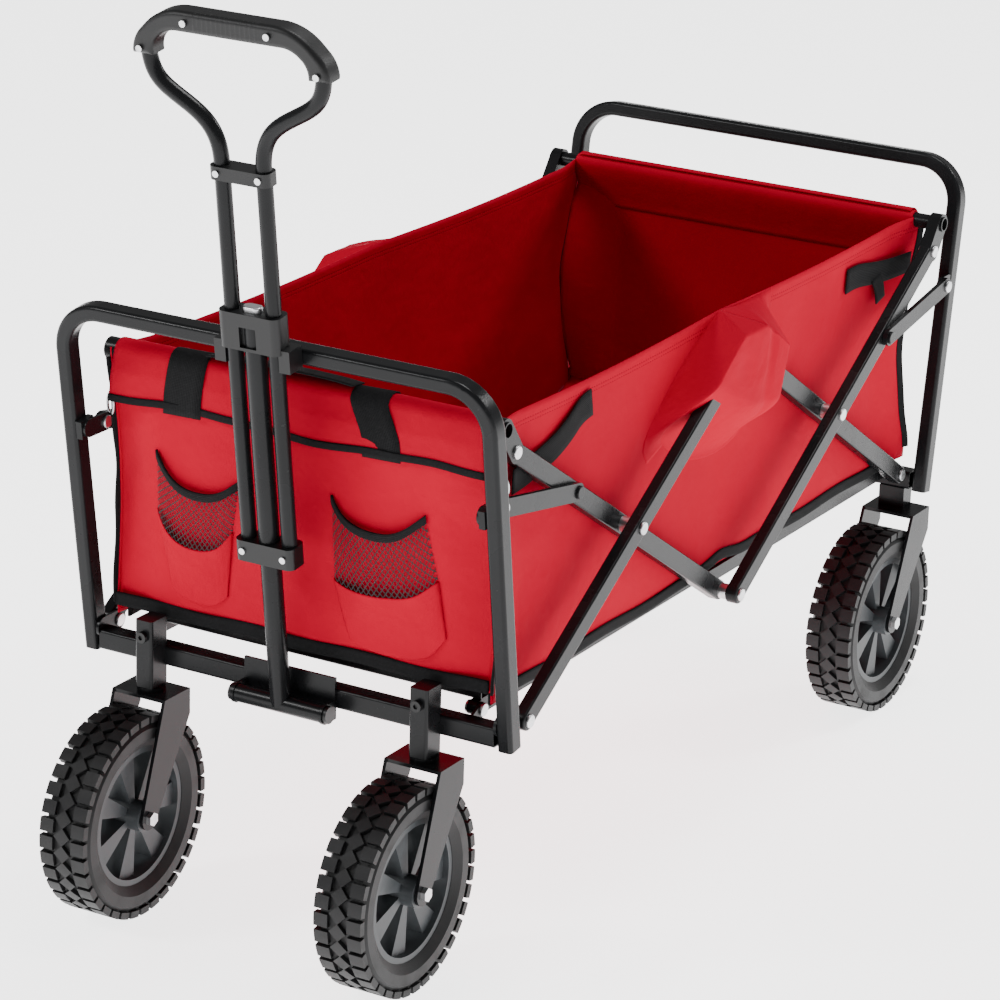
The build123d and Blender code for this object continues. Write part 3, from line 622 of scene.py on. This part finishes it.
def matPiece(name, body):
    low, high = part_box(name)
    low, high = Vector(low), Vector(high)
    bm = bmesh.new()
    bmesh.ops.create_cube(bm, size=1.0)
    bmesh.ops.scale(bm, vec=high - low - Vector((0.001, 0.001, 0)), verts=bm.verts)
    bmesh.ops.translate(bm, vec=(low + high) / 2, verts=bm.verts)
    rises = {e: abs(e.verts[0].co.z - e.verts[1].co.z) for e in bm.edges}
    upright = [e for e in bm.edges if rises[e] > 0.004]
    bmesh.ops.bevel(bm, geom=upright, offset=0.012, segments=4, profile=0.5, affect="EDGES", material=-1)
    level = [e for e in bm.edges if abs(e.verts[0].co.z - e.verts[1].co.z) < 1e-6]
    rounded = [e for e in level if e.calc_face_angle(0) > 1]
    bmesh.ops.bevel(bm, geom=rounded, offset=0.0028, segments=3, profile=0.5, affect="EDGES", material=-1)
    middle = (low.y + high.y) / 2
    for cut in (middle - 0.004, middle, middle + 0.004, low.y + 0.014, high.y - 0.014):
        geom = bm.verts[:] + bm.edges[:] + bm.faces[:]
        bmesh.ops.bisect_plane(bm, geom=geom, plane_co=(0, cut, 0), plane_no=(0, 1, 0))
    for cut in (low.x + 0.014, high.x - 0.014):
        geom = bm.verts[:] + bm.edges[:] + bm.faces[:]
        bmesh.ops.bisect_plane(bm, geom=geom, plane_co=(cut, 0, 0), plane_no=(1, 0, 0))
    for vert in bm.verts:
        if vert.co.z > high.z - 0.004 and abs(vert.co.y - middle) < 0.001:
            vert.co.z -= 0.004  # the fold between two boards
    layer = bm.loops.layers.uv.new("cloth")
    for face in bm.faces:
        for loop in face.loops:
            loop[layer].uv = (loop.vert.co.x, loop.vert.co.y)
    piece = finishPiece(bm, name + "_cover", matCloth, body, smooth=False)
    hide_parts(name)
    return piece


matPiece("mat_front", "floor_front")
matPiece("mat_rear", "floor_rear")
print("floor and mats made")


# binding along the tub's edges
for side, sideName in ((1, "right"), (-1, "left")):
    for end, endName, body in ((-1, "front", frontBody), (1, "rear", rearBody)):
        seam = []
        for step in range(25):
            z = mix(284, 536, step / 24)
            wave = 2.2 * math.sin(step * 0.9 + side) + ripple(z, side * 9, end * 5, 40, 3)
            seam.append((side * (tub["flare"] + 0.6), seamY(end, z) + end * (1.5 + wave * 0.5), z))
        tape(
            "corner_binding_%s_%s" % (endName, sideName), seam, (side * 3, end * 8, 0), binding, body,
            thickness=2.4, rounds=1, rows=80,
        )
    low = []
    for step in range(41):
        y = mix(-436, 436, step / 40)
        low.append((side * 204.4, y, 273.5 + hingeLift(y) + 1.2 * math.sin(step * 0.8)))
    tape("low_binding_" + sideName, low, (0, 0, 11), binding, frontBody, thickness=2.6, rounds=1, rows=150)
for end, endName, body in ((-1, "front", frontBody), (1, "rear", rearBody)):
    low = []
    for i in range(31):
        out, up = 448.6 + 0.8 * math.sin(i), 290 + 1.0 * math.sin(i * 0.7)
        low.append((mix(-210, 210, i / 30), end * out, up))
    tape("low_binding_" + endName, low, (0, 0, 13), binding, body, thickness=2.6, rounds=1, rows=100)
print("bindings made")


# webbing
def hemStrap(name, topX, lowX, width):
    r = 14.2
    y0, z0 = hemTube["y"], hemTube["z"]
    points = [(lowX, -462.8, 495), (lowX, -462.2, 512), (mix(lowX, topX, 0.5), -460.6, 530)]
    for step in range(6):
        turn = math.radians(165 - step * 27)
        points.append((topX, y0 + r * math.cos(turn), z0 + r * math.sin(turn)))
    points += [(topX, -431.5, 530), (topX, -434, 512)]
    strip, length = tape(name, points, (width, 0, 1), webbing, frontBody, rounds=2)


hemStrap("hem_strap_left", -121.0, -124.0, 42.0)
hemStrap("hem_strap_right", 80.0, 98.0, 41.0)
carry = [(-100, -447, 556.6), (-60, -449, 559.5), (-10, -450, 560.5), (40, -449, 559.5), (62, -447, 556.8)]
strip, length = tape("carry_webbing", carry, (0, 22, -3), webbing, frontBody, thickness=1.6)

# the side straps' courses, as x away from the middle plane, y and z
strapCourses = {
    "front": [
        (206, -262, 519), (206, -282, 516), (208, -305, 505), (207.5, -330, 494),
        (206, -356, 487), (210, -392, 484), (215.5, -424, 486),
    ],
    "rear": [(206, 285, 508), (206, 312, 509), (207.5, 350, 503), (210, 388, 500), (215.5, 422, 501)],
    "tail": [(208.8, 352, 498), (209.5, 360, 486), (208.6, 366, 470)],
}
sideStraps = {  # width at both ends, flat width in metres, body, how it is held and on what
    "front": ([(0, -5, 27), (0, 2, 24)], 0.027, frontBody, "laid", "side_"),
    "rear": ([(0, 3, 26), (0, 3, 22)], 0.026, rearBody, "laid", "side_"),
    "tail": ((0, 20, 5), 0.020, rearBody, "hung", "side_strap_rear_"),
}
for side, sideName in ((1, "right"), (-1, "left")):
    for name, (wide, flatWide, body, held, under) in sideStraps.items():
        course = [(side * x, y, z) for x, y, z in strapCourses[name]]
        strip, length = tape("side_strap_%s_%s" % (name, sideName), course, wide, webbing, body, rounds=2)
print("webbing made")


# pockets on the front wall
pockets = {
    "left": {"top": [(-156, 450), (-136, 424), (-112, 416), (-84, 419), (-62, 436)],
             "middle": [(-156, 396), (-138, 370), (-110, 363), (-84, 368), (-70, 388)],
             "low": [(-142, 318), (-134, 309), (-112, 305), (-92, 307), (-78, 320)], "depth": 9.5,
             "gusset": (0.098, 0.058), "net": (0.102, 0.055)},
    "right": {"top": [(42, 444), (58, 424), (86, 417), (116, 420), (144, 444)],
              "middle": [(44, 366), (66, 360), (100, 361), (134, 366), (157, 386)],
              "low": [(60, 306), (80, 300), (112, 299), (146, 304), (165, 330)], "depth": 10.5,
              "gusset": (0.122, 0.060), "net": (0.118, 0.058)},
}


def frontFace(x, z):  # y of the front wall's outer face, in millimetres
    place, total = wallPlace(-1)
    foot = wallPath(-1)[:courseFoot]
    share = (pathLength(foot) + (z - foot[-1].z)) / total
    return (place((x / tub["flare"] + 1) / 2, share).y - middleY) * 1000 - 0.8


def pocketPanel(name, low, high, depth, look, lowShare, highShare, thickness=0.0012, size=(110, 70)):
    lowLine = smoothPath([Vector((x, 0, z)) for x, z in low], 3)
    highLine = smoothPath([Vector((x, 0, z)) for x, z in high], 3)

    def place(u, v):
        p = alongPath(lowLine, u).lerp(alongPath(highLine, u), v)
        share = mix(lowShare, highShare, v)
        out = depth * share * math.sin(math.pi * u) ** 0.55
        out += ripple(p.x, p.z, 2, 26, 1.6) * math.sin(math.pi * u) * share
        return at(p.x, frontFace(p.x, p.z) - 0.9 - out, p.z)

    bm = clothGrid(48, 30, place, size, (0, -1, 0))
    return finishPiece(bm, name, look, frontBody, thickness), place


for name, pocket in pockets.items():
    depth = pocket["depth"]
    low, middle, top = pocket["low"], pocket["middle"], pocket["top"]
    gusset, _ = pocketPanel("pocket_gusset_" + name, low, middle, depth, redPocket, 0.12, 1.0)
    bag, place = pocketPanel("pocket_net_" + name, middle, top, depth, net, 1.0, 0.5, 0.0)
    rim = [place(i / 30, 1.0) for i in range(31)]
    rim = [(p.x * 1000, (p.y - middleY) * 1000 - 0.6, p.z * 1000 + 1) for p in rim]
    tape("pocket_band_" + name, rim, (0, -1, 8), webbing, frontBody, thickness=2.4, rounds=1, rows=60)
print("pockets made")


# wire rings at the corners of the tub
def wireRing(name, centre, lean, body):
    bm = bmesh.new()
    bmesh.ops.create_circle(bm, segments=10, radius=0.0014)
    bmesh.ops.rotate(bm, verts=bm.verts, cent=(0, 0, 0), matrix=Matrix.Rotation(math.pi / 2, 3, "X"))
    bmesh.ops.translate(bm, verts=bm.verts, vec=(0.0085, 0, 0))
    bmesh.ops.spin(
        bm, geom=bm.verts[:] + bm.edges[:], cent=(0, 0, 0), axis=(0, 0, 1),
        angle=2 * math.pi, steps=36, use_merge=True,
    )
    bmesh.ops.scale(bm, vec=(0.8, 1.25, 1), verts=bm.verts)
    bmesh.ops.rotate(bm, verts=bm.verts, cent=(0, 0, 0), matrix=Matrix.Rotation(math.pi / 2, 3, "X"))
    bmesh.ops.rotate(bm, verts=bm.verts, cent=(0, 0, 0), matrix=Matrix.Rotation(lean, 3, "Z"))
    bmesh.ops.translate(bm, verts=bm.verts, vec=at(*centre))
    bmesh.ops.recalc_face_normals(bm, faces=bm.faces)
    return finishPiece(bm, name, zinc, body)


for side, sideName in ((1, "right"), (-1, "left")):
    wireRing("tub_ring_front_" + sideName, (side * 217, -447.5, 487), 0.5 * side, frontBody)
    wireRing("tub_ring_rear_" + sideName, (side * 217, 447.5, 500), 0.5 * side, rearBody)
print("rings made")

# the tub's cloth pieces on the front frame each get a mesh of their own
squashed = (
    "side_right", "side_left", "pleat", "floor_cloth", "low_binding_right", "low_binding_left",
    "side_strap_front",
)
tubPieces = [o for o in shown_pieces() if o.get("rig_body") == frontBody and o.name.startswith(squashed)]
for piece in tubPieces:
    at(0, -430, 400)
    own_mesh(piece)

# studio
def studioPlane(name, size, color):
    bm = bmesh.new()
    bmesh.ops.create_grid(bm, x_segments=1, y_segments=1, size=size)
    mesh = bpy.data.meshes.new(name)
    bm.to_mesh(mesh)
    bm.free()
    f = Finish(name + "Paint", color, 0.8, Specular_IOR_Level=0.1)
    f.shader.inputs["Emission Color"].default_value = (1, 1, 1, 1)
    f.shader.inputs["Emission Strength"].default_value = 3.0
    mesh.materials.append(f.material)
    plane = bpy.data.objects.new(name, mesh)
    bpy.context.scene.collection.objects.link(plane)
    return plane


studioPlane("floor", 30.0, (0.93, 0.93, 0.93))
world = bpy.data.worlds.new("studio")
bpy.context.scene.world = world
world.use_nodes = True
world.node_tree.nodes["Background"].inputs["Color"].default_value = (1, 1, 1, 1)
world.node_tree.nodes["Background"].inputs["Strength"].default_value = 0.3

lamps = {
    "key": {"place": (-2.2, -2.8, 2.8), "size": 0.9, "power": 70.0},
    "fill": {"place": (3.4, -0.6, 2.4), "size": 0.8, "power": 6.0},
    "top": {"place": (0.3, 0.4, 3.2), "size": 0.9, "power": 46.0},
    "edge": {"place": (1.9, 3.2, 2.8), "size": 0.7, "power": 60.0},
}
for lampName, lamp in lamps.items():
    data = bpy.data.lights.new(lampName, "AREA")
    data.size, data.energy = lamp["size"], lamp["power"]
    light = bpy.data.objects.new(lampName, data)
    light.location = lamp["place"]
    aim = Vector((0, 0, 0.4)) - Vector(lamp["place"])
    light.rotation_euler = aim.to_track_quat("-Z", "Y").to_euler()
    bpy.context.scene.collection.objects.link(light)

lens = {
    "place": (1.98163, -3.44857, 1.69776),
    "right": (0.86054, 0.50861, 0.02808),
    "up": (-0.18946, 0.26840, 0.94449),
    "back": (0.47284, -0.81810, 0.32733),
    "focal": 148.04,
}
cameraData = bpy.data.cameras.new("view")
cameraData.lens, cameraData.sensor_width = lens["focal"], 36.0
cameraData.clip_end = 100.0
camera = bpy.data.objects.new("view", cameraData)
turned = Matrix((lens["right"], lens["up"], lens["back"])).transposed().to_4x4()
camera.matrix_world = Matrix.Translation(lens["place"]) @ turned
bpy.context.scene.collection.objects.link(camera)
bpy.context.scene.camera = camera
print("studio made")
